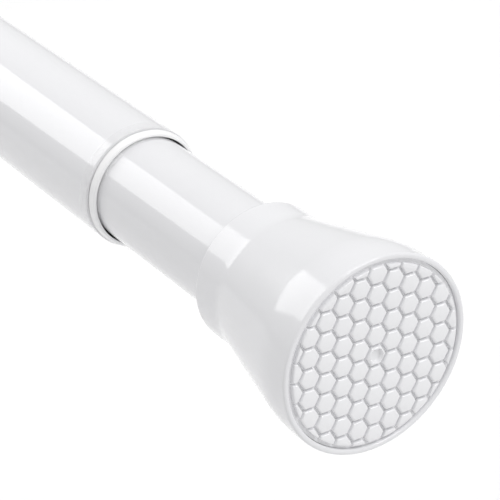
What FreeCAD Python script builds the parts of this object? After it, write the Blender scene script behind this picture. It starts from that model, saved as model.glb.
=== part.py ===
# Spring tension rod for a curtain: two telescoping tubes, flared end caps with honeycomb pads,
# and inside them the spring, the screw and the nut that press the pads against two walls.
# The rod lies along X with +Z up. The origin is the middle of the left pad's wall face.
import FreeCAD, Part
import math
import os
import Sketcher

# Driving dimensions in millimetres and degrees, one cell of the sheet each
SIZES = {
    # tubes
    "outer_tube_diameter": 25.4,
    "outer_tube_wall": 0.6,
    "outer_tube_length": 420.0,
    "telescope_gap": 0.95,
    "inner_tube_wall": 0.6,
    "inner_tube_length": 280.0,
    "shown_inner_length": 38.9,
    # end caps
    "neck_wall": 1.25,
    "neck_length": 7.3,
    "flare_width": 5.15,
    "flare_angle": 12.7,
    "rim_straight_length": 6.15,
    "rim_setback": 0.1,
    "lip_width": 1.1,
    "web_thickness": 7.75,
    # pads
    "pad_base": 1.75,
    "tile_height": 0.85,
    "tile_pitch": 3.98,
    "tile_gap": 0.5,
    "tile_turn": 29.5,
    "ring_groove_width": 0.7,
    "dimple_radius": 1.45,
    "dimple_floor_radius": 0.75,
    "dimple_depth": 0.6,
    # clear collar at the outer tube's mouth
    "collar_skirt_wall": 0.33,
    "collar_taper": 0.73,
    "collar_lip": 3.5,
    "collar_skirt": 2.2,
    "collar_sleeve": 16.0,
    # spring and what it pushes on
    "spring_length": 82.0,
    "spring_wire": 2.0,
    "spring_turns": 8.0,
    "spring_side_gap": 2.0,
    "anchor_length": 16.0,
    "seat_thickness": 5.0,
    # screw rod
    "screw_diameter": 8.0,
    "tail_step": 2.4,
    "spigot_step": 0.6,
    "spigot_stub": 2.0,
    "hex_nut_width": 10.0,
    "hex_nut_height": 5.0,
    "extend_travel": 160.0,
    "retract_gap": 13.0,
    "thread_margin": 4.0,
    # drive nut and the bush that rides on its spigot
    "nut_head_length": 4.2,
    "nut_neck_length": 8.0,
    "nut_spigot_length": 16.0,
    # clearances
    "push_fit": 0.05,
    "running_fit": 0.25,
    "slide_fit": 0.2,
    "thread_fit": 0.3,
}

HEXAGON = 6
WIRE_SIDES = 4
SPRING_RUNS_PER_TURN = 10
CLOSED_TURN_RISE = 1.15

doc = FreeCAD.newDocument("tension_rod")
sheet = doc.addObject("Spreadsheet::Sheet", "sizes")


class Size:
    """A number together with the sheet expression that it comes from."""

    def __init__(self, value, text):
        self.value = value
        self.text = text

    def __add__(self, other):
        other = as_size(other)
        return Size(self.value + other.value, f"({self.text} + {other.text})")

    def __sub__(self, other):
        other = as_size(other)
        return Size(self.value - other.value, f"({self.text} - {other.text})")

    def __mul__(self, other):
        other = as_size(other)
        return Size(self.value * other.value, f"({self.text} * {other.text})")

    def __truediv__(self, other):
        other = as_size(other)
        return Size(self.value / other.value, f"({self.text} / {other.text})")

    def __neg__(self):
        return Size(-self.value, f"(0 - {self.text})")


def as_size(number):
    """A plain number becomes a size that is its own expression."""
    return number if isinstance(number, Size) else Size(float(number), repr(float(number)))


def of_angle(function, angle):
    """The sine, cosine or tangent of an angle size in degrees."""
    value = getattr(math, function)(math.radians(angle.value))
    return Size(value, f"{function}({angle.text})")


def rounded_up(size):
    """The next whole number."""
    return Size(math.ceil(size.value), f"ceil({size.text})")


def fill_sheet():
    """Write every driving dimension into its own named cell and return the sizes by name."""
    sizes = {}
    for row, (name, value) in enumerate(SIZES.items(), start=1):
        sheet.set(f"A{row}", name)
        sheet.set(f"B{row}", str(value))
        sheet.setAlias(f"B{row}", name)
        sizes[name] = Size(value, f"sizes.{name}")
    doc.recompute()
    return sizes


def bind(target, path, size):
    """Drive one property of an object by a size."""
    target.setExpression(path, as_size(size).text)


def new_body(label):
    body = doc.addObject("PartDesign::Body", label)
    body.Label = label
    return body


def place(target, along, facing_back=False):
    """Put a sub-part on the rod's axis; one that faces back is turned half round about Z."""
    half_turn = FreeCAD.Rotation(FreeCAD.Vector(0, 0, 1), 180 if facing_back else 0)
    target.Placement = FreeCAD.Placement(FreeCAD.Vector(as_size(along).value, 0, 0), half_turn)
    bind(target, "Placement.Base.x", along)


def new_sketch(body, name, role, offset=None, turn=None):
    """A sketch on one of the body's own origin planes, moved along its normal and turned in its plane."""
    sketch = body.newObject("Sketcher::SketchObject", name)
    plane = next(feature for feature in body.Origin.OriginFeatures if feature.Role == role)
    sketch.AttachmentSupport = [(plane, "")]
    sketch.MapMode = "FlatFace"
    angle = turn.value if turn else 0
    rotation = FreeCAD.Rotation(FreeCAD.Vector(0, 0, 1), angle)
    sketch.AttachmentOffset = FreeCAD.Placement(FreeCAD.Vector(0, 0, 0), rotation)
    if offset is not None:
        bind(sketch, "AttachmentOffset.Base.z", offset)
    if turn is not None:
        bind(sketch, "AttachmentOffset.Rotation.Angle", turn)
    return sketch


def dimension(sketch, kind, size, *where):
    """Add a driving dimension and bind it to its size."""
    index = sketch.addConstraint(Sketcher.Constraint(kind, *where, as_size(size).value))
    bind(sketch, f"Constraints[{index}]", size)


def fix_point(sketch, edge, end, point):
    """Hold an edge's end at its two coordinates, or on an axis where a coordinate is zero."""
    for kind, axis, size in (("DistanceX", -2, point[0]), ("DistanceY", -1, point[1])):
        if as_size(size).value == 0:
            sketch.addConstraint(Sketcher.Constraint("PointOnObject", edge, end, axis))
        else:
            dimension(sketch, kind, size, -1, 1, edge, end)


def vector(point):
    return FreeCAD.Vector(as_size(point[0]).value, as_size(point[1]).value, 0)


def outline(sketch, corners):
    """Draw a closed outline of straight edges through corners."""
    edges = []
    for number, corner in enumerate(corners):
        line = Part.LineSegment(vector(corner), vector(corners[(number + 1) % len(corners)]))
        edges.append(sketch.addGeometry(line, False))
    for number, edge in enumerate(edges):
        next_edge = edges[(number + 1) % len(edges)]
        sketch.addConstraint(Sketcher.Constraint("Coincident", edge, 2, next_edge, 1))
        fix_point(sketch, edge, 1, corners[number])


def circles(sketch, *radii):
    """Draw circles about the sketch's origin."""
    for radius in radii:
        circle = Part.Circle(FreeCAD.Vector(0, 0, 0), FreeCAD.Vector(0, 0, 1), radius.value)
        edge = sketch.addGeometry(circle, False)
        sketch.addConstraint(Sketcher.Constraint("Coincident", edge, 3, -1, 1))
        dimension(sketch, "Radius", radius, edge)


def square(sketch, width):
    """Draw a square about the sketch's origin."""
    half = width / 2
    outline(sketch, [(-half, -half), (half, -half), (half, half), (-half, half)])


def hexagon(sketch, centre, flat_width):
    """Draw a hexagon whose first pair of flats faces along the sketch's X axis."""
    reach = flat_width / math.sqrt(3)
    corners = []
    for number in range(HEXAGON):
        angle = math.radians(30 + 60 * number)
        corners.append((centre[0] + reach * math.cos(angle), centre[1] + reach * math.sin(angle)))
    outline(sketch, corners)


def revolve(body, sketch, kind="Revolution"):
    """Turn an outline round the rod's axis, as material or as a Groove."""
    feature = body.newObject(f"PartDesign::{kind}", f"{sketch.Name}_turned")
    feature.Profile = sketch
    feature.ReferenceAxis = (sketch, ["H_Axis"])
    feature.Angle = 360
    return feature


def extrude(body, sketch, length, backwards=False):
    """Pad a sketch along X; backwards is towards -X."""
    feature = body.newObject("PartDesign::Pad", f"{sketch.Name}_pad")
    feature.Profile = sketch
    bind(feature, "Length", length)
    feature.Reversed = backwards
    return feature


def turned_part(label, corners, along, facing_back=False):
    """A sub-part made on a lathe or in a round mould: one outline, revolved."""
    body = new_body(label)
    sketch = new_sketch(body, f"{label}_outline", "XY_Plane")
    outline(sketch, corners)
    revolve(body, sketch)
    place(body, along, facing_back)
    return body


def make_tube(label, diameter, wall, length, along):
    body = new_body(label)
    sketch = new_sketch(body, f"{label}_ring", "YZ_Plane")
    circles(sketch, diameter / 2, diameter / 2 - wall)
    extrude(body, sketch, length)
    place(body, along)
    return body


def make_cap(label, tube_diameter, along, facing_back):
    """A flared cap: a straight rim, a cone and a straight neck round the tube's end."""
    socket = tube_diameter / 2 + s["push_fit"]
    corners = [
        (s["rim_setback"], lip_bore),
        (s["rim_setback"], rim_radius),
        (rim_straight_end, rim_radius),
        (neck_start, neck_radius),
        (cap_length, neck_radius),
        (cap_length, socket),
        (tube_seat_depth, socket),
        (tube_seat_depth, 0),
        (recess_floor, 0),
        (recess_floor, lip_bore),
    ]
    return turned_part(label, corners, along, facing_back)


def make_pad(label, along):
    """A soft disc whose wall face is a field of hexagonal tiles, trimmed to a circle."""
    body = new_body(label)
    pad_radius = lip_bore - s["ring_groove_width"]
    rings = rounded_up(pad_radius / (s["tile_pitch"] * math.sin(math.radians(60))))
    reach = (rings + 1) * s["tile_pitch"] * 2

    base = new_sketch(body, f"{label}_base", "YZ_Plane", s["tile_height"])
    circles(base, reach)
    extrude(body, base, s["pad_base"])

    tile = new_sketch(body, f"{label}_tile", "YZ_Plane", s["tile_height"], s["tile_turn"])
    row_step = s["tile_pitch"] / 2
    row_rise = s["tile_pitch"] * math.sin(math.radians(60))
    corner = (-(rings * row_step * 3), -(rings * row_rise))
    hexagon(tile, corner, s["tile_pitch"] - s["tile_gap"])
    slant_end = (corner[0] + row_step, corner[1] + row_rise)
    slant = tile.addGeometry(Part.LineSegment(vector(corner), vector(slant_end)), True)
    fix_point(tile, slant, 1, corner)
    fix_point(tile, slant, 2, slant_end)
    first_tile = extrude(body, tile, s["tile_height"], backwards=True)

    field = body.newObject("PartDesign::MultiTransform", f"{label}_field")
    field.Originals = [first_tile]
    rows = []
    for axis in ("H_Axis", "Axis0"):
        row = body.newObject("PartDesign::LinearPattern", f"{label}_row")
        row.Direction = (tile, [axis])
        bind(row, "Length", rings * 2 * s["tile_pitch"])
        bind(row, "Occurrences", rings * 2 + 1)
        rows.append(row)
    field.Transformations = rows
    field.Refine = False
    body.Tip = field

    # One revolved cut trims the wide disc and its tiles to a circle and dishes the middle tile
    trim = new_sketch(body, f"{label}_trim", "XY_Plane")
    in_front = -s["tile_height"]
    behind = pad_thickness + s["tile_height"]
    outline(
        trim,
        [(in_front, pad_radius), (behind, pad_radius), (behind, reach * 2), (in_front, reach * 2)],
    )
    outline(
        trim,
        [
            (in_front, 0),
            (in_front, s["dimple_radius"]),
            (0, s["dimple_radius"]),
            (s["dimple_depth"], s["dimple_floor_radius"]),
            (s["dimple_depth"], 0),
        ],
    )
    revolve(body, trim, "Groove")
    place(body, along)
    return body


def make_pad_copy(label, source, along):
    """A second pad from the same mould, turned to face the other wall."""
    body = new_body(label)
    copy = body.newObject("PartDesign::FeatureBase", f"{label}_copy")
    copy.BaseFeature = source
    body.Tip = copy
    place(body, along, facing_back=True)
    return body


def make_plug(label, radius, thickness, along):
    """A round plug with a square hole that keeps the screw from turning."""
    body = new_body(label)
    disc = new_sketch(body, f"{label}_disc", "YZ_Plane")
    circles(disc, radius)
    square(disc, tail_width + s["slide_fit"] * 2)
    extrude(body, disc, thickness)
    place(body, along)
    return body


def make_screw_rod(label, tail_length, thread_length, along):
    """A steel rod: a square tail for the anchor, a round bar for the thread and a spigot at each end."""
    body = new_body(label)
    spigot_length = s["hex_nut_height"] + s["spigot_stub"]
    tail_spigot = new_sketch(body, f"{label}_tail_spigot", "YZ_Plane", -tail_length)
    circles(tail_spigot, spigot_radius)
    tail = new_sketch(body, f"{label}_tail", "YZ_Plane")
    square(tail, tail_width)
    thread = new_sketch(body, f"{label}_thread", "YZ_Plane")
    circles(thread, s["screw_diameter"] / 2)
    end_spigot = new_sketch(body, f"{label}_end_spigot", "YZ_Plane", thread_length)
    circles(end_spigot, spigot_radius)
    extrude(body, tail, tail_length, backwards=True)
    extrude(body, tail_spigot, spigot_length, backwards=True)
    extrude(body, thread, thread_length)
    extrude(body, end_spigot, spigot_length)
    place(body, along)
    return body


def make_hex_nut(label, along):
    body = new_body(label)
    sketch = new_sketch(body, f"{label}_hexagon", "YZ_Plane")
    hexagon(sketch, (as_size(0), as_size(0)), s["hex_nut_width"])
    circles(sketch, spigot_radius + s["push_fit"])
    extrude(body, sketch, s["hex_nut_height"])
    place(body, along)
    return body


def wire_corners(turn):
    """The corners of the square that just fits in the round wire, after so many turns of the coil."""
    wire = s["spring_wire"].value
    turns = round(s["spring_turns"].value)
    end_rise = wire * CLOSED_TURN_RISE
    pitch = (s["spring_length"].value - wire - 2 * end_rise) / turns
    active = min(max(turn - 1, 0), turns)
    middle = wire / 2 + end_rise * (turn - active) + pitch * active
    around = FreeCAD.Rotation(FreeCAD.Vector(1, 0, 0), 360 * turn)
    corners = []
    for corner in range(WIRE_SIDES):
        angle = 2 * math.pi * corner / WIRE_SIDES
        height = spring_radius.value + wire / 2 * math.sin(angle)
        corners.append(around * FreeCAD.Vector(middle + wire / 2 * math.cos(angle), height, 0))
    return corners


def flat_face(*corners):
    return Part.Face(Part.makePolygon([*corners, corners[0]]))


def make_spring(label, along):
    """A coil with closed end turns, its wire a chain of straight runs with flat faces."""
    total_turns = round(s["spring_turns"].value) + 2
    steps = SPRING_RUNS_PER_TURN * total_turns
    sections = [wire_corners(step / SPRING_RUNS_PER_TURN) for step in range(steps + 1)]
    faces = [flat_face(*sections[0]), flat_face(*sections[-1])]
    for here, there in zip(sections, sections[1:]):
        for side in range(WIRE_SIDES):
            other = (side + 1) % WIRE_SIDES
            faces.append(flat_face(here[side], here[other], there[other]))
            faces.append(flat_face(here[side], there[other], there[side]))
    spring = doc.addObject("Part::Feature", label)
    spring.Label = label
    spring.Shape = Part.makeSolid(Part.makeShell(faces))
    place(spring, along)
    return spring


s = fill_sheet()

# Radii that mating pieces share
outer_bore = s["outer_tube_diameter"] / 2 - s["outer_tube_wall"]
inner_tube_diameter = (outer_bore - s["telescope_gap"]) * 2
inner_bore = inner_tube_diameter / 2 - s["inner_tube_wall"]
neck_radius = s["outer_tube_diameter"] / 2 + s["neck_wall"]
rim_radius = neck_radius + s["flare_width"]
lip_bore = rim_radius - s["lip_width"]
collar_bore = inner_tube_diameter / 2 + s["slide_fit"]
spring_radius = outer_bore - s["spring_side_gap"] - s["spring_wire"] / 2
tail_width = s["screw_diameter"] - s["tail_step"]
spigot_radius = (tail_width - s["spigot_step"]) / 2
nut_bore = s["screw_diameter"] / 2 + s["thread_fit"]
nut_spigot_radius = inner_bore - s["push_fit"]

# Places along a cap, from its wall face
pad_thickness = s["tile_height"] + s["pad_base"]
recess_floor = pad_thickness + s["push_fit"]
tube_seat_depth = recess_floor + s["web_thickness"]
rim_straight_end = s["rim_setback"] + s["rim_straight_length"]
neck_start = rim_straight_end + s["flare_width"] / of_angle("tan", s["flare_angle"])
cap_length = neck_start + s["neck_length"]

# Places along the rod, from the left wall face
outer_tube_start = tube_seat_depth
outer_tube_end = outer_tube_start + s["outer_tube_length"]
collar_front = outer_tube_end + s["collar_lip"]
rod_length = collar_front + s["shown_inner_length"] + cap_length
inner_tube_start = rod_length - tube_seat_depth - s["inner_tube_length"]
nut_tube_stop = s["nut_head_length"] + s["nut_neck_length"]
nut_length = nut_tube_stop + s["nut_spigot_length"]
nut_start = inner_tube_start - nut_tube_stop
screw_shoulder = nut_start - s["retract_gap"]
seat_start = screw_shoulder - s["seat_thickness"]
spring_start = seat_start - s["spring_length"]
anchor_start = spring_start - s["anchor_length"]
tail_length = screw_shoulder - anchor_start
thread_length = s["retract_gap"] + nut_length + s["extend_travel"] + s["thread_margin"]
thread_end = screw_shoulder + thread_length

outer_tube = make_tube(
    "outer_tube", s["outer_tube_diameter"], s["outer_tube_wall"], s["outer_tube_length"], outer_tube_start
)
inner_tube = make_tube(
    "inner_tube", inner_tube_diameter, s["inner_tube_wall"], s["inner_tube_length"], inner_tube_start
)

left_end_cap = make_cap("left_end_cap", s["outer_tube_diameter"], 0, False)
right_end_cap = make_cap("right_end_cap", inner_tube_diameter, rod_length, True)
left_pad = make_pad("left_pad", 0)
right_pad = make_pad_copy("right_pad", left_pad, rod_length)

# The collar's ring stops the tube's cut end, its skirt hides that end and its sleeve guides the inner tube
collar_skirt_bore = s["outer_tube_diameter"] / 2 + s["push_fit"]
collar_rear_radius = collar_skirt_bore + s["collar_skirt_wall"]
collar_front_radius = collar_rear_radius - s["collar_taper"]
collar_length = s["collar_sleeve"] + s["collar_lip"]
skirt_start = s["collar_sleeve"] - s["collar_skirt"]
tube_collar = turned_part(
    "tube_collar",
    [
        (0, collar_bore),
        (0, outer_bore - s["push_fit"]),
        (s["collar_sleeve"], outer_bore - s["push_fit"]),
        (s["collar_sleeve"], collar_skirt_bore),
        (skirt_start, collar_skirt_bore),
        (skirt_start, collar_rear_radius),
        (collar_length, collar_front_radius),
        (collar_length, collar_bore),
    ],
    outer_tube_end - s["collar_sleeve"],
)

spring_anchor = make_plug("spring_anchor", outer_bore - s["push_fit"], s["anchor_length"], anchor_start)
spring_seat = make_plug("spring_seat", outer_bore - s["running_fit"], s["seat_thickness"], seat_start)
spring = make_spring("spring", spring_start)

screw_rod = make_screw_rod("screw_rod", tail_length, thread_length, screw_shoulder)
tail_nut = make_hex_nut("tail_nut", anchor_start - s["hex_nut_height"])
end_nut = make_hex_nut("end_nut", thread_end)

# The drive nut turns with the inner tube, and the bush runs on its neck between the head and the tube's end
drive_nut = turned_part(
    "drive_nut",
    [
        (0, nut_bore),
        (0, inner_tube_diameter / 2),
        (s["nut_head_length"], inner_tube_diameter / 2),
        (s["nut_head_length"], nut_spigot_radius),
        (nut_length, nut_spigot_radius),
        (nut_length, nut_bore),
    ],
    nut_start,
)
guide_bush = make_tube(
    "guide_bush",
    (outer_bore - s["running_fit"]) * 2,
    outer_bore - s["running_fit"] - nut_spigot_radius - s["thread_fit"],
    s["nut_neck_length"] - s["thread_fit"] * 2,
    nut_start + s["nut_head_length"] + s["thread_fit"],
)

doc.recompute()

SUB_PARTS = [
    outer_tube, inner_tube, tube_collar, left_end_cap, right_end_cap, left_pad, right_pad,
    spring_anchor, spring, spring_seat, screw_rod, tail_nut, end_nut, drive_nut, guide_bush,
]


def check_document():
    """Stop before anything is written if an object failed or a shape is empty or broken."""
    for item in doc.Objects:
        if "Invalid" in item.State or "Error" in item.State:
            raise RuntimeError(f"{item.Label} failed: {item.State}")
    for part in SUB_PARTS:
        if part.Shape.isNull() or not part.Shape.isValid():
            raise RuntimeError(f"{part.Label} has no valid shape")
        if len(part.Shape.Solids) != 1:
            raise RuntimeError(f"{part.Label} has {len(part.Shape.Solids)} solids")


check_document()
os.makedirs("parts", exist_ok=True)
for part in SUB_PARTS:
    part.Shape.exportStep(f"parts/{part.Label}.step")
    print(f"{part.Label}: {part.Shape.Volume / 1000:.2f} cm3, {len(part.Shape.Faces)} faces")
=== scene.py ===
# %% [markdown]
# # A white tension rod
# This lesson dresses a telescoping curtain rod that a spring presses between two walls. A CAD frame
# brings the solid pieces and the joints. Each step below adds one visible piece or one finish; a new piece
# that stands for CAD nodes then moves with a body of the frame. The rod lies along X, its left wall face
# is at zero, and lengths are in metres.

# %% Load the frame
import math

import bmesh
import bpy
from mathutils import Matrix, Vector


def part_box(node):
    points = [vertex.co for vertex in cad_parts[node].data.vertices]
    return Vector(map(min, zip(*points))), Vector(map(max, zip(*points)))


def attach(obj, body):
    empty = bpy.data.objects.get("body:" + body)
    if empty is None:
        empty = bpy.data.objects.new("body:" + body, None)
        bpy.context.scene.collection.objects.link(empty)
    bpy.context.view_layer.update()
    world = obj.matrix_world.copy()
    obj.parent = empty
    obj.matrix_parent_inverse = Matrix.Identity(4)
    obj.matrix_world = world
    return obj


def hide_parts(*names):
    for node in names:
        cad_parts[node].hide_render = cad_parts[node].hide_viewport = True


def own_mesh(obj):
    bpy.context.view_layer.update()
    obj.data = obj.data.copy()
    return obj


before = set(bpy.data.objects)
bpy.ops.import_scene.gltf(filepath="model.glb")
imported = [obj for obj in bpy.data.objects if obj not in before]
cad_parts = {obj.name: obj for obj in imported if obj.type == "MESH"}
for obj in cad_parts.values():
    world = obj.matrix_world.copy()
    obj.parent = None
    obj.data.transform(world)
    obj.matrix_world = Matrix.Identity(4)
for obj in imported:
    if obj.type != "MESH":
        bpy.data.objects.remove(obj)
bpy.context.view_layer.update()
print("CAD nodes:", sorted(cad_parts))

# %% [markdown]
# ## Measure the frame
# Sizes could be typed in again, but then the looks and the solids would drift apart. They are read from
# the boxes of the CAD nodes instead. The pieces are round about X, so half of a box's height is a radius.

# %% Measure
MM = 0.001


def span(node):
    low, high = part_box(node)
    return low.x, high.x


def radius(node):
    low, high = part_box(node)
    return (high.z - low.z) / 2


rod_length = span("right_pad")[1]
outer_radius = radius("outer_tube")
inner_radius = radius("inner_tube")
rim_radius = radius("right_end_cap")
cap_length = span("left_end_cap")[1]
pad_radius = radius("right_pad")
pad_thickness = span("left_pad")[1]
seat_depth = span("outer_tube")[0]
print(f"rod {rod_length:.4f} m, tubes {outer_radius:.5f} and {inner_radius:.5f} m, rim {rim_radius:.5f} m")

# %% [markdown]
# ## Profiles with rounded corners
# Most pieces are turned: a profile of (along, radius) points swept round X. A Bevel modifier could round
# their edges later, but a profile can be rounded exactly, with its own radius at each corner. The
# rounding matters, because an edge without any never catches light and looks like paper.


# %% Round a profile
def rounded(points, steps=6):
    """Replace each (along, radius, rounding) corner by a short arc; a rounding of 0 keeps the corner."""
    result = []
    for number, (along, height, rounding) in enumerate(points):
        here = Vector((along, height))
        if rounding == 0 or number in (0, len(points) - 1):
            result.append(here)
            continue
        back = Vector(points[number - 1][:2]) - here
        ahead = Vector(points[number + 1][:2]) - here
        half = back.angle(ahead) / 2
        cut = min(rounding / math.tan(half), back.length * 0.49, ahead.length * 0.49)
        reach = cut * math.tan(half)
        centre = here + (back.normalized() + ahead.normalized()).normalized() * math.hypot(cut, reach)
        first = here + back.normalized() * cut - centre
        last = here + ahead.normalized() * cut - centre
        for step in range(steps + 1):
            turn = first.angle_signed(last) * step / steps
            result.append(centre + Matrix.Rotation(-turn, 2) @ first)
    return result


def rounded_loop(corners):
    """Round every corner of a closed profile, the first and the last ones too."""
    return rounded([corners[-1], *corners, corners[0]])[1:-1]


square_corner = [(0, 0, 0), (1, 0, 0.2), (1, 1, 0)]
print("a square corner becomes", len(rounded(square_corner)), "points")

# %% [markdown]
# ## The lathe
# Smooth shading averages the normals at each vertex. On a long straight run next to a small rounding,
# that average tilts the normals of the whole run, and a highlight drifts off the tube. Two support points
# close to the run's ends keep it flat. The Screw modifier could do the sweep, but rings of vertices leave
# full control of the ends.

# %% Sweep a profile round X
AROUND = 192


def supported(profile, margin=0.12 * MM):
    """Add a point close to each end of a long straight run, so that smooth shading stays flat along it."""
    result = [profile[0]]
    for here, there in zip(profile, profile[1:]):
        step = there - here
        if step.length > 6 * margin:
            result.append(here + step.normalized() * margin)
            result.append(there - step.normalized() * margin)
        result.append(there)
    return result


def new_object(name, mesh, sharp=35):
    """Link a mesh as an object, smooth but for the edges that bend by more than the sharp angle."""
    mesh.polygons.foreach_set("use_smooth", [True] * len(mesh.polygons))
    mesh.set_sharp_from_angle(angle=math.radians(sharp))
    thing = bpy.data.objects.new(name, mesh)
    bpy.context.scene.collection.objects.link(thing)
    return thing


def finished_mesh(name, builder, sharp):
    """Turn a bmesh with outward normals into an object."""
    bmesh.ops.recalc_face_normals(builder, faces=builder.faces)
    mesh = bpy.data.meshes.new(name)
    builder.to_mesh(mesh)
    builder.free()
    return new_object(name, mesh, sharp)


def lathe(name, profile, closed=False, around=AROUND, sharp=35):
    """Sweep a profile of (along, radius) points round X; a point on the axis closes the end."""
    builder = bmesh.new()
    if closed:
        profile = [*profile, profile[0]]
    rings = []
    for along, height in supported(profile)[: -1 if closed else None]:
        count = 1 if height < 1e-9 else around
        angles = [2 * math.pi * k / around for k in range(count)]
        points = [(along, height * math.cos(a), height * math.sin(a)) for a in angles]
        rings.append([builder.verts.new(point) for point in points])
    if closed:
        rings.append(rings[0])
    for one, two in zip(rings, rings[1:]):
        for k in range(around):
            near = [one[k % len(one)], one[(k + 1) % len(one)]]
            far = [two[(k + 1) % len(two)], two[k % len(two)]]
            builder.faces.new(list(dict.fromkeys(near + far)))
    return finished_mesh(name, builder, sharp)


flat_error = rim_radius * (1 - math.cos(math.pi / AROUND))
print("each ring has", AROUND, "sides, which cut inside the true circle by", f"{flat_error / MM:.4f} mm")

# %% [markdown]
# ## Finishes
# An even colour looks like a computer's. Every finish starts from one small network instead: coarse noise
# drifts the colour and the roughness a little, and fine noise drives a bump for the grain. Image textures
# would need unwrapping, while noise works from object coordinates, which are metres here: a scale of 1000
# means millimetres.


# %% Finish helper
DRIFT_SCALE = 60


def finish(name, dark, light, roughness, grain_scale, grain_depth, **sockets):
    """A Principled material: noise drifts its colour and roughness, and a bump gives it a fine grain."""
    material = bpy.data.materials.new(f"{name}_finish")
    material["slot"] = name
    material.use_nodes = True
    nodes, links = material.node_tree.nodes, material.node_tree.links
    shader = nodes["Principled BSDF"]
    place = nodes.new("ShaderNodeTexCoord")
    drift = nodes.new("ShaderNodeTexNoise")
    drift.inputs["Scale"].default_value = DRIFT_SCALE
    drift.inputs["Detail"].default_value = 4
    colours = nodes.new("ShaderNodeMix")
    colours.data_type = "RGBA"
    colours.inputs["A"].default_value = (*dark, 1)
    colours.inputs["B"].default_value = (*light, 1)
    gloss = nodes.new("ShaderNodeMapRange")
    gloss.inputs["To Min"].default_value = roughness[0]
    gloss.inputs["To Max"].default_value = roughness[1]
    grain = nodes.new("ShaderNodeTexNoise")
    grain.inputs["Scale"].default_value = grain_scale
    grain.inputs["Detail"].default_value = 2
    bump = nodes.new("ShaderNodeBump")
    bump.inputs["Distance"].default_value = grain_depth
    bump.inputs["Strength"].default_value = 1
    links.new(place.outputs["Object"], drift.inputs["Vector"])
    links.new(place.outputs["Object"], grain.inputs["Vector"])
    links.new(drift.outputs["Fac"], colours.inputs["Factor"])
    links.new(drift.outputs["Fac"], gloss.inputs["Value"])
    links.new(colours.outputs["Result"], shader.inputs["Base Color"])
    links.new(gloss.outputs["Result"], shader.inputs["Roughness"])
    links.new(grain.outputs["Fac"], bump.inputs["Height"])
    links.new(bump.outputs["Normal"], shader.inputs["Normal"])
    for socket, value in sockets.items():
        shader.inputs[socket.replace("_", " ")].default_value = value
    return material


def dress(thing, material, body, *replaced):
    """Give a piece its finish; if it stands for CAD nodes, let it move with a body and hide those nodes."""
    thing.data.materials.clear()
    thing.data.materials.append(material)
    if replaced:
        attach(thing, body)
        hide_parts(*replaced)
    return thing


print("finish and dress are ready")

# %% [markdown]
# ## The two tubes
# Thin steel tube is rolled, welded, cut to length and painted. Gloss paint is a smooth, slightly cool
# white with a sharp reflection: a low roughness, a thin coat and a grain of under a micrometre. The paint
# rounds the cut ends.

# %% Tubes
TUBE_WALL = 0.6 * MM
EDGE = 0.2 * MM
white_paint = finish(
    "white_paint", (0.785, 0.785, 0.802), (0.805, 0.805, 0.822), (0.07, 0.11), 900, 0.4e-6, Coat_Weight=0.1
)


def tube(name, start, end, outside):
    bore = outside - TUBE_WALL
    corners = [(start, bore, EDGE), (start, outside, EDGE), (end, outside, EDGE), (end, bore, EDGE)]
    return lathe(name, rounded_loop(corners), closed=True)


outer_tube = tube("outer_tube_painted", *span("outer_tube"), outer_radius)
dress(outer_tube, white_paint, "outer", "outer_tube")
inner_tube = tube("inner_tube_painted", *span("inner_tube"), inner_radius)
dress(inner_tube, white_paint, "inner", "inner_tube")
print("tubes:", len(outer_tube.data.polygons), "and", len(inner_tube.data.polygons), "faces")

# %% [markdown]
# ## The flared caps
# Each cap is one moulding: a lip round the pad, a straight rim, a soft bend, a cone and a neck round the
# tube. The CAD cap has plain corners there. The soft bend is what breaks the highlight in two, so here
# the rim's corner gets a rounding of about 30 mm and the neck's one of 12 mm. Moulded plastic is a little
# rougher than the paint.

# %% Caps
NECK_RADIUS = 13.95 * MM
NECK_LENGTH = 7.3 * MM
RIM_CORNER = 6.25 * MM
BEND = 29.6 * MM
LIP_BORE = 18.0 * MM
LIP_SETBACK = 0.1 * MM
PAD_SEAT = 2.65 * MM
SOCKET_GAP = 0.05 * MM
cap_plastic = finish(
    "white_cap_plastic", (0.80, 0.80, 0.817), (0.82, 0.82, 0.837), (0.10, 0.15), 700, 0.5e-6, Coat_Weight=0.1
)


def cap(name, socket, right):
    corners = [
        (PAD_SEAT, 0, 0),
        (PAD_SEAT, LIP_BORE, 0),
        (LIP_SETBACK, LIP_BORE, 0.45 * MM),
        (LIP_SETBACK, rim_radius, 0.5 * MM),
        (RIM_CORNER, rim_radius, BEND),
        (cap_length - NECK_LENGTH, NECK_RADIUS, 12 * MM),
        (cap_length, NECK_RADIUS, 0.5 * MM),
        (cap_length, socket, 0.2 * MM),
        (seat_depth, socket, 0),
        (seat_depth, 0, 0),
    ]
    profile = rounded(corners, steps=12)
    if right:
        profile = [Vector((rod_length - point.x, point.y)) for point in profile]
    return lathe(name, profile)


left_cap = cap("left_cap_moulded", outer_radius + SOCKET_GAP, False)
dress(left_cap, cap_plastic, "outer", "left_end_cap")
right_cap = cap("right_cap_moulded", inner_radius + SOCKET_GAP, True)
dress(right_cap, cap_plastic, "inner", "right_end_cap")
print("caps:", len(left_cap.data.polygons), "and", len(right_cap.data.polygons), "faces")

# %% [markdown]
# ## The honeycomb pads: outlines
# The pad's face is a field of hexagonal tiles that ends in a circle. A Boolean cut of a tile pattern
# would leave long thin faces that shade badly. So each tile starts as a flat outline: the circle clips it
# first, and it is raised afterwards. The clipping keeps the corners inside, finds each crossing by
# halving and adds an arc.


# %% Clip an outline to a circle
HALVINGS = 40
ARC_STEP = 0.03


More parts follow.
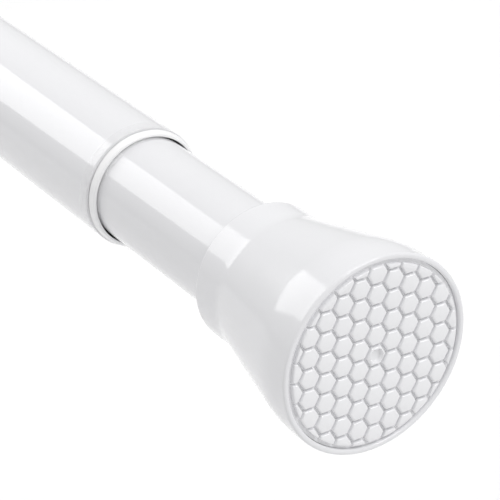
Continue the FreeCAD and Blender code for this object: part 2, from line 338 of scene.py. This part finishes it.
def clip_to_circle(corners, limit):
    """Keep the part of a convex outline inside a circle about the pad's middle."""
    result = []
    for here, there in zip(corners, corners[1:] + corners[:1]):
        if here.length <= limit:
            result.append(here)
        if (here.length <= limit) != (there.length <= limit):
            low, high = 0.0, 1.0
            for _ in range(HALVINGS):
                middle = (low + high) / 2
                inside = here.lerp(there, middle).length <= limit
                if inside == (here.length <= limit):
                    low = middle
                else:
                    high = middle
            result.append(here.lerp(there, low).normalized() * limit)
            if here.length <= limit:
                result.append(None)
    if None not in result:
        return result
    gap = result.index(None)
    loop = result[gap + 1:] + result[:gap]
    first, last = loop[-1], loop[0]
    sweep = math.atan2(first.cross(last), first.dot(last))
    steps = max(2, int(abs(sweep) / ARC_STEP))
    arc = [Matrix.Rotation(sweep * k / steps, 2) @ first for k in range(1, steps)]
    return loop + arc


test_square = [Vector(corner) for corner in ((0.5, -0.5), (1.5, -0.5), (1.5, 0.5), (0.5, 0.5))]
print("a square across the circle keeps", len(clip_to_circle(test_square, 1)), "corners")

# %% [markdown]
# A tile's soft edge is a stack of rings, each one the outline moved a little further inwards. Where a cut
# tile is only a sliver, the same inset would turn it inside out, so the room in its middle limits the
# rounding.


# %% Move an outline inwards
def shrink(corners, inset):
    """Move every side of a convex outline inwards and meet the sides again."""
    sides = []
    for here, there in zip(corners, corners[1:] + corners[:1]):
        inward = Vector((here.y - there.y, there.x - here.x)).normalized()
        sides.append((here + inward * inset, there - here))
    result = []
    for (point, along), (last_point, last_along) in zip(sides, sides[-1:] + sides[:-1]):
        across = last_along.cross(along)
        step = (point - last_point).cross(along) / across if abs(across) > 1e-16 else 0
        result.append(last_point + last_along * step if step else point)
    return result


def narrowest(corners):
    """The shortest distance from an outline's middle to one of its sides."""
    middle = sum(corners, Vector((0, 0))) / len(corners)
    reaches = []
    for here, there in zip(corners, corners[1:] + corners[:1]):
        if (there - here).length > 1e-9:
            reaches.append(abs((there - here).normalized().cross(middle - here)))
    return min(reaches)


print("the test square has room for", round(narrowest(test_square), 3))

# %% [markdown]
# ## The honeycomb pads: tiles
# The tiles stand on two directions that are 60 degrees apart. Each tile is a wall, a quarter
# circle at its edge and a flat top. The middle tile is dished: its hexagon is split finely and pulled
# into circles that go down.

# %% Build a pad
TILE_PITCH = 3.98 * MM
TILE_ROWS = 6
TILE_GAP = 0.46 * MM
TILE_HEIGHT = 0.85 * MM
TILE_TURN = 29.5
TILE_EDGE = 0.40 * MM
TILE_DROP = 0.40 * MM
TILE_DRAFT = 0.04 * MM
DISH_RADIUS = 1.45 * MM
DISH_DEPTH = 0.75 * MM
DISH = [(0, 1), (0.06, 0.97), (0.5, 0.88), (0.85, 0.80), (0.97, 0.74), (1, 0.66), (1, 0.1)]
tile_levels = [(TILE_HEIGHT, -TILE_DRAFT), (TILE_DROP, 0)]
for degrees in (30, 60, 90):
    bend = math.radians(degrees)
    tile_levels.append((TILE_DROP * (1 - math.sin(bend)), TILE_EDGE * (1 - math.cos(bend))))


def tile_outlines(turn):
    """The clipped outline of each tile and whether it is the middle one."""
    row = [Matrix.Rotation(turn + math.radians(60 * k), 2) @ Vector((TILE_PITCH, 0)) for k in range(2)]
    corner = Vector(((TILE_PITCH - TILE_GAP) / math.sqrt(3), 0))
    for a in range(-TILE_ROWS, TILE_ROWS + 1):
        for b in range(-TILE_ROWS, TILE_ROWS + 1):
            centre = row[0] * a + row[1] * b
            turns = [turn + math.radians(30 + 60 * k) for k in range(6)]
            hexagon = [centre + Matrix.Rotation(angle, 2) @ corner for angle in turns]
            corners = clip_to_circle(hexagon, pad_radius)
            if len(corners) > 2 and (sum(corners, Vector((0, 0))) / len(corners)).length <= pad_radius:
                yield corners, a == b == 0


def pad(name, right):
    builder = bmesh.new()

    def ring(corners, depth):
        along = rod_length - depth if right else depth
        return [builder.verts.new((along, corner.x, corner.y)) for corner in corners]

    def wall(one, two):
        for k in range(len(one)):
            builder.faces.new((one[k - 1], one[k], two[k], two[k - 1]))

    for corners, dished in tile_outlines(math.radians(180 - TILE_TURN if right else TILE_TURN)):
        share = min(1, 0.6 * narrowest(corners) / TILE_EDGE)
        rings = [ring(shrink(corners, inset * share), depth) for depth, inset in tile_levels]
        for one, two in zip(rings, rings[1:]):
            wall(one, two)
        last = rings[-1]
        if dished:
            edge = [vertex.co.yz for vertex in last]
            fine = [edge[k].lerp(edge[(k + 1) % 6], t / 8) for k in range(6) for t in range(8)]
            last = ring(fine, 0)
            for depth, part in DISH:
                here = ring([point.normalized() * DISH_RADIUS * part for point in fine], depth * DISH_DEPTH)
                wall(last, here)
                last = here
        builder.faces.new(last)
    angles = [2 * math.pi * k / AROUND for k in range(AROUND)]
    around = [Vector((math.cos(a), math.sin(a))) * (LIP_BORE - SOCKET_GAP) for a in angles]
    floor_ring = ring(around, TILE_HEIGHT)
    back_ring = ring(around, pad_thickness)
    builder.faces.new(floor_ring)
    wall(floor_ring, back_ring)
    builder.faces.new(back_ring)
    return finished_mesh(name, builder, sharp=40)


print("tiles on a pad:", len(list(tile_outlines(0))))

# %% [markdown]
# Soft moulded rubber has a grained satin body under a thin smooth skin. The skin is the shader's coat: on
# the flat tops it hardly shows, and on the rounded tile edges it draws the fine bright lines. The two
# pads come from one mould, so the right one is the left one turned to the other wall.

# %% Pads
pad_rubber = finish(
    "soft_white_pad", (0.85, 0.85, 0.867), (0.87, 0.87, 0.887), (0.20, 0.28), 2500, 3e-6,
    Coat_Weight=0.8, Coat_Roughness=0.12,
)
left_pad = dress(pad("left_pad_tiles", False), pad_rubber, "outer", "left_pad")
right_pad = dress(pad("right_pad_tiles", True), pad_rubber, "inner", "right_pad")
print("pads:", len(left_pad.data.polygons), "faces each")

# %% [markdown]
# ## The clear collar
# A moulded ring of clear plastic closes the outer tube's mouth, and its skirt lies over the tube's cut
# end. A full glass shader goes dark here, because light has to find its way in and out of a closed gap. A
# low Alpha lets light pass straight through instead, and a high IOR gives back the reflections that Alpha
# takes away.

# %% Clear ring of the collar
COLLAR_FRONT_RADIUS = 12.35 * MM
COLLAR_REAR_RADIUS = 13.08 * MM
COLLAR_SKIRT = 2.2 * MM
FRONT_LIP = 1.4 * MM
FRONT_LIP_GAP = 0.63 * MM
CORE_REAR_RADIUS = 12.45 * MM
CORE_FRONT_RADIUS = 12.0 * MM
SEAM = 0.02 * MM
COLLAR_FIT = 0.05 * MM
collar_start, collar_end = span("tube_collar")
tube_end = span("outer_tube")[1]
core_end = collar_end - FRONT_LIP
skirt_bore = outer_radius + COLLAR_FIT
ring_corners = [
    (tube_end, CORE_REAR_RADIUS + SEAM, 0),
    (tube_end, skirt_bore, 0),
    (tube_end - COLLAR_SKIRT, skirt_bore, 0.05 * MM),
    (tube_end - COLLAR_SKIRT, COLLAR_REAR_RADIUS, 0.15 * MM),
    (collar_end, COLLAR_FRONT_RADIUS, 0.6 * MM),
    (collar_end, inner_radius + FRONT_LIP_GAP, 0.1 * MM),
    (core_end, inner_radius + FRONT_LIP_GAP, 0),
    (core_end, CORE_FRONT_RADIUS + SEAM, 0),
]
clear_plastic = finish(
    "clear_plastic", (0.985, 0.985, 0.985), (0.995, 0.995, 0.995), (0.01, 0.03), 500, 0.3e-6,
    Alpha=0.10, IOR=3.6, Coat_Weight=1.0,
)
collar = lathe("collar_ring", rounded_loop(ring_corners), closed=True)
dress(collar, clear_plastic, "outer", "tube_collar")
print("clear ring:", len(collar.data.polygons), "faces")

# %% [markdown]
# The light that the real ring gathers shows as a bright band between two dark lines. That band is painted
# light: a near-white opaque core inside the clear ring stands for the gathered light, and it is made in one
# piece with the sleeve that sits in the tube. A narrow joint behind the core and the sliding gap at its
# mouth are real hollows, so they go dark by themselves and no line has to be painted.

# %% Painted-light core and sleeve of the collar
MOUTH_GAP = 0.36 * MM
JOINT = 0.6 * MM
collar_bore = inner_radius + MOUTH_GAP
sleeve_radius = outer_radius - TUBE_WALL - COLLAR_FIT
core_corners = [
    (collar_start, collar_bore, 0.1 * MM),
    (collar_start, sleeve_radius, 0.1 * MM),
    (tube_end + JOINT, sleeve_radius, 0),
    (tube_end + JOINT, CORE_REAR_RADIUS, 0.1 * MM),
    (core_end - SEAM, CORE_FRONT_RADIUS, 0.3 * MM),
    (core_end - SEAM, collar_bore, 0.1 * MM),
]
# painted highlight: this near-white colour on the core stands for the light that the clear ring gathers
sleeve_and_painted_light_core = finish("sleeve_and_painted_light_core", (0.955, 0.955, 0.96), (0.975, 0.975, 0.98), (0.2, 0.3), 500, 0.3e-6)
sleeve_and_painted_light_core["slot"] = "clear_plastic"
sleeve = lathe("collar_sleeve", rounded_loop(core_corners), closed=True)
dress(sleeve, sleeve_and_painted_light_core, "outer", "tube_collar")
print("core and sleeve:", len(sleeve.data.polygons), "faces")

# %% [markdown]
# ## The spring
# Nothing inside shows from outside, but a section or a pulled-apart view does. The spring is a round
# steel wire on a helix with closed end turns. A curve with a bevel could make it, but rings of vertices
# can change their pitch along the way.

# %% Spring
WIRE = 2.0 * MM
SPRING_GAP = 2.0 * MM
ACTIVE_TURNS = 8
CLOSED_RISE = 1.15 * WIRE
spring_start, spring_end = span("spring")
coil_radius = outer_radius - TUBE_WALL - SPRING_GAP - WIRE / 2
coil_pitch = (spring_end - spring_start - WIRE - 2 * CLOSED_RISE) / ACTIVE_TURNS


def swept(name, rings, sharp=50):
    """Join rings of points into a closed bar with flat ends."""
    builder = bmesh.new()
    last = None
    for points in rings:
        ring = [builder.verts.new(point) for point in points]
        if last is None:
            builder.faces.new(ring)
        else:
            for k in range(len(ring)):
                builder.faces.new((last[k - 1], last[k], ring[k], ring[k - 1]))
        last = ring
    builder.faces.new(last)
    return finished_mesh(name, builder, sharp)


def coil_rings(runs=40, sides=12):
    for step in range(runs * (ACTIVE_TURNS + 2) + 1):
        turn = step / runs
        active = min(max(turn - 1, 0), ACTIVE_TURNS)
        along = spring_start + WIRE / 2 + CLOSED_RISE * (turn - active) + coil_pitch * active
        around = Matrix.Rotation(2 * math.pi * turn, 3, "X")
        angles = [2 * math.pi * k / sides for k in range(sides)]
        circle = [(along + WIRE / 2 * math.cos(a), coil_radius + WIRE / 2 * math.sin(a), 0) for a in angles]
        yield [around @ Vector(point) for point in circle]


spring_steel = finish(
    "spring_steel", (0.38, 0.38, 0.40), (0.52, 0.52, 0.54), (0.22, 0.34), 3000, 3e-6, Metallic=1.0
)
spring = dress(swept("spring_wire", coil_rings()), spring_steel, "outer", "spring")
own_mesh(spring)

# %% [markdown]
# ## The screw
# A thread is a surface whose radius depends on the distance along the rod and on the angle together: the
# ridge moves on by one lead a turn. So a grid of rings with that radius is a thread, and no Boolean is
# needed. The ridge fades out over one lead at both ends.

# %% Thread
LEAD = 5.0 * MM
STARTS = 2
CREST = 4.0 * MM
ROOT = 3.45 * MM
FLANK = 0.22
SPIGOT = 7.0 * MM
screw_start, screw_end = span("screw_rod")
shoulder = span("spring_seat")[1]
thread_end = screw_end - SPIGOT


def thread_height(along, angle):
    phase = (along / LEAD - angle / (2 * math.pi)) * STARTS % 1
    ridge = min(max((0.5 - abs(phase - 0.5)) / FLANK - 0.5, 0), 1)
    ends = min(1, (along - shoulder) / LEAD, (thread_end - along) / LEAD)
    return ROOT + (CREST - ROOT) * ridge * max(ends, 0)


def thread_rings(step=0.25 * MM, sides=36):
    rows = int((thread_end - shoulder) / step)
    for row in range(rows + 1):
        along = shoulder + (thread_end - shoulder) * row / rows
        angles = [2 * math.pi * k / sides for k in range(sides)]
        heights = [thread_height(along, a) for a in angles]
        yield [(along, height * math.cos(a), height * math.sin(a)) for height, a in zip(heights, angles)]


zinc_steel = finish(
    "zinc_steel", (0.58, 0.60, 0.63), (0.70, 0.72, 0.75), (0.25, 0.38), 1800, 4e-6, Metallic=1.0
)
thread = dress(swept("screw_thread", thread_rings()), zinc_steel, "screw", "screw_rod")
print("thread:", len(thread.data.polygons), "faces")

# %% [markdown]
# The screw's square tail slides through the anchor's square hole, which keeps the screw from turning. It
# is a cube with a Bevel modifier, because its edges are all alike. A short spigot at each end carries a
# nut.

# %% Tail and spigots
TAIL_HALF = 2.8 * MM
SPIGOT_RADIUS = 2.5 * MM
tail_start = screw_start + SPIGOT
bpy.ops.mesh.primitive_cube_add(size=1)
tail = bpy.context.object
tail.name = "screw_tail"
tail.data.transform(Matrix.Diagonal((shoulder - tail_start, 2 * TAIL_HALF, 2 * TAIL_HALF, 1)))
tail.data.transform(Matrix.Translation(((shoulder + tail_start) / 2, 0, 0)))
edge = tail.modifiers.new("edge", "BEVEL")
edge.width = 0.3 * MM
edge.segments = 2
dress(tail, zinc_steel, "screw", "screw_rod")
for label, start, end in (("tail", screw_start, tail_start), ("end", thread_end, screw_end)):
    corners = [(start, 0, 0), (start, SPIGOT_RADIUS, 0.4 * MM), (end, SPIGOT_RADIUS, 0.4 * MM), (end, 0, 0)]
    dress(lathe(f"screw_{label}_spigot", rounded(corners), around=48), zinc_steel, "screw", "screw_rod")
print("tail of", round((shoulder - tail_start) / MM, 1), "mm and two spigots")

# %% [markdown]
# ## The plugs and the nuts
# The plain plugs, the bush, the drive nut and the hexagonal nuts stay as the CAD made them. They only
# take a finish: moulded grey plastic with a matt grain, and the screw's zinc for the steel nuts.

# %% Finishes of the CAD nodes that stay
grey_plastic = finish("grey_plastic", (0.30, 0.31, 0.33), (0.36, 0.37, 0.39), (0.45, 0.6), 1500, 6e-6)
for name in ("tail_nut", "end_nut"):
    dress(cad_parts[name], zinc_steel, "screw")
for name in ("spring_anchor", "spring_seat", "drive_nut", "guide_bush"):
    dress(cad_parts[name], grey_plastic, None)
print("finishes:", [material.name for material in bpy.data.materials if "slot" in material])

# %% [markdown]
# ## Floor and surround
# A catalogue picture on white needs a floor that is lit just to pure white. A pale floor needs less light
# for that than a grey one, so less of it spills onto the rod. The surround is an even soft grey, which
# keeps the lower sides of the tubes darker than the upper ones. The Standard view keeps white as white.

# %% Floor and surround
FLOOR = -0.25
SKY = 0.66
bpy.ops.mesh.primitive_plane_add(size=8, location=(0, 0, FLOOR))
floor = bpy.context.object
floor.name = "floor"
pale_floor = finish("pale_floor", (0.80, 0.80, 0.80), (0.82, 0.82, 0.82), (0.6, 0.7), 300, 5e-6)
floor.data.materials.append(pale_floor)
world = bpy.data.worlds.new("studio")
bpy.context.scene.world = world
world.use_nodes = True
sky = world.node_tree.nodes["Background"]
sky.inputs["Color"].default_value = (1, 1, 1, 1)
sky.inputs["Strength"].default_value = SKY
bpy.context.scene.view_settings.view_transform = "Standard"
print("floor at", FLOOR)

# %% [markdown]
# ## Lights
# A soft box is easier to plan by the brightness of its face than by its power, because a mirror image
# shows that brightness. The helper turns one into the other. The key's place then follows from the mirror
# rule: a ray from the camera to the middle of the bright band, thrown back by the tube, has to end in the
# middle of the box.


# %% Key light
def soft_box(name, location, target, width, height, radiance, spread=180):
    """An area light that faces a target; its power follows from the brightness that its face shows."""
    data = bpy.data.lights.new(name, "AREA")
    data.shape = "RECTANGLE"
    data.size = width
    data.size_y = height
    data.energy = radiance * math.pi * width * height
    data.spread = math.radians(spread)
    lamp = bpy.data.objects.new(name, data)
    bpy.context.scene.collection.objects.link(lamp)
    away = (Vector(location) - Vector(target)).normalized()
    along = (Vector((1, 0, 0)) - away * away.x).normalized()
    lamp.matrix_world = Matrix((along, away.cross(along), away)).transposed().to_4x4()
    lamp.location = location
    return lamp


BAND_PLACE = 49 * MM
KEY_DISTANCE = 1.5
KEY_ASIDE = 0.22
KEY_DOWN = 0.05
band_point = Vector((rod_length - BAND_PLACE, 0, 0))
mirror = Vector((-0.741, -0.411, 0.531)).normalized()
sideways = (Vector((1, 0, 0)) - mirror * mirror.x).normalized()
lift = mirror.cross(sideways)
key_place = band_point + mirror * KEY_DISTANCE - sideways * KEY_ASIDE - lift * KEY_DOWN
key = soft_box("key_soft_box", key_place, key_place - mirror, 0.78, 0.84, 2.3)
print("key light at", [round(value, 3) for value in key.location])

# %% [markdown]
# A weak top light lifts the upper sides. The front light stands high to the right of the pad, because
# light that rakes over the tiles gives each one a bright edge and a dark one. Two narrow floor lights
# point straight down: one makes the floor in the picture white, and one lights the floor behind, which
# the tubes' upper edges mirror.

# %% Fill and floor lights
top = soft_box("top_light", (0.45, 0.2, 1.3), (0.45, 0.05, 0), 1.4, 1.0, 0.32)
front = soft_box("front_light", (1.29, 0.39, 1.1), (rod_length, 0, 0), 0.8, 0.8, 4.0)
far_light = soft_box("far_floor_light", (-0.65, 0.95, 0.35), (-0.65, 0.95, FLOOR), 0.9, 0.9, 0.42, 80)
floor_light = soft_box("floor_light", (0.0, 0.32, 0.5), (0.0, 0.32, FLOOR), 0.7, 0.8, 0.43, 80)
print("lights:", [lamp.name for lamp in (key, top, front, far_light, floor_light)])

# %% [markdown]
# ## The camera
# The photograph looks at the rod's right end from the front and above. The place and the long lens were
# fitted to the outlines of the tubes and the rim, so that the render can be laid over the photograph.

# %% Camera
AZIMUTH = math.radians(56.8)
ELEVATION = math.radians(27.7)
LENS = 149.58
CAMERA_FROM_END = Vector((0.2439, -0.1855, 0.1810))
right = Vector((math.cos(AZIMUTH), math.sin(AZIMUTH), 0))
level = Vector((math.sin(AZIMUTH), -math.cos(AZIMUTH), 0))
back = level * math.cos(ELEVATION) + Vector((0, 0, math.sin(ELEVATION)))
view = bpy.data.cameras.new("camera")
view.lens = LENS
view.sensor_width = 36
view.clip_start = 0.01
camera = bpy.data.objects.new("camera", view)
bpy.context.scene.collection.objects.link(camera)
camera.matrix_world = Matrix((right, back.cross(right), back)).transposed().to_4x4()
camera.location = Vector((rod_length, 0, 0)) + CAMERA_FROM_END
bpy.context.scene.camera = camera
print("camera at", [round(value, 4) for value in camera.location])
